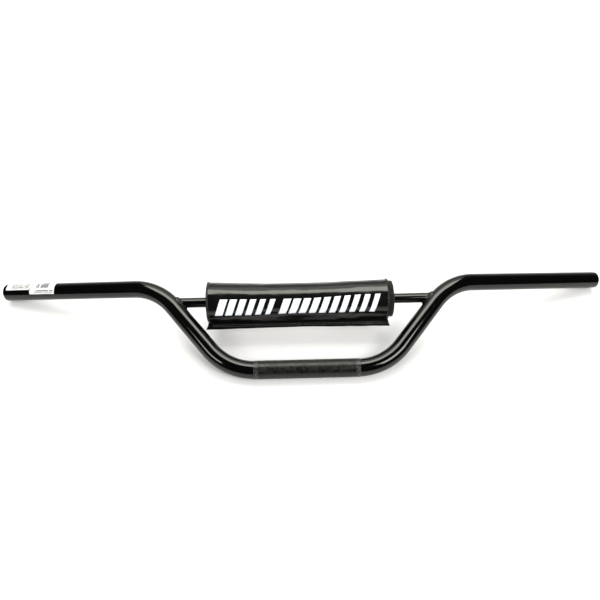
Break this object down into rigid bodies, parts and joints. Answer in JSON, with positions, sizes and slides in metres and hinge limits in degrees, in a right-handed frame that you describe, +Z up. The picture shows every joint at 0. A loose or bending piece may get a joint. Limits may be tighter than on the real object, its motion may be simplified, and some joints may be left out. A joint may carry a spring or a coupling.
{
  "type": "handlebar",
  "caption": "Motorcycle handlebar: a bent tube with a knurled clamp zone, a welded crossbar and a sliding crossbar pad with a hook-and-loop cover.",
  "frame": {"origin": "centre of the clamp zone, on the tube's axis", "axes": "+X along the bar to its right end, +Y from the clamp zone towards the tube ends, +Z up from the surface the bar lies on"},
  "size_m": [0.8054, 0.1552, 0.0687],
  "materials": {
    "gloss_paint": "gloss black enamel over steel, matte and knurled in the clamp zone",
    "foam": "closed-cell foam with a cut, open-pored skin",
    "vinyl": "smooth semi-gloss black leathercloth with a white print",
    "webbing": "black binding tape, zigzag stitched",
    "touch_tape": "black hook-and-loop tape",
    "paper": "white paper label, slightly satin"
  },
  "bodies": {
    "bar": {"main_tube": "gloss_paint", "crossbar": "gloss_paint", "weld_left": "gloss_paint", "weld_right": "gloss_paint", "label_small": "paper", "label_wide": "paper"},
    "pad_core": {"foam_core": "foam"},
    "pad_cover": {"cover_shell": "vinyl", "hem_left": "webbing", "hem_right": "webbing", "loop_strip": "touch_tape"},
    "flap": {"closure_flap": "vinyl", "hook_strip": "touch_tape"}
  },
  "joints": [
    {"name": "pad_slide", "type": "slide", "parent": "bar", "child": "pad_core", "axis": [1, 0, 0], "range_m": [-0.002, 0.019]},
    {"name": "cover_turn", "type": "hinge", "parent": "pad_core", "child": "pad_cover", "pos_m": [0, 0.08118, 0.03265], "axis": [1, 0, 0], "continuous": true},
    {"name": "flap_open", "type": "hinge", "parent": "pad_cover", "child": "flap", "pos_m": [0, 0.05754, 0.02105], "axis": [-1, 0, 0], "range_deg": [0, 100]}
  ]
}
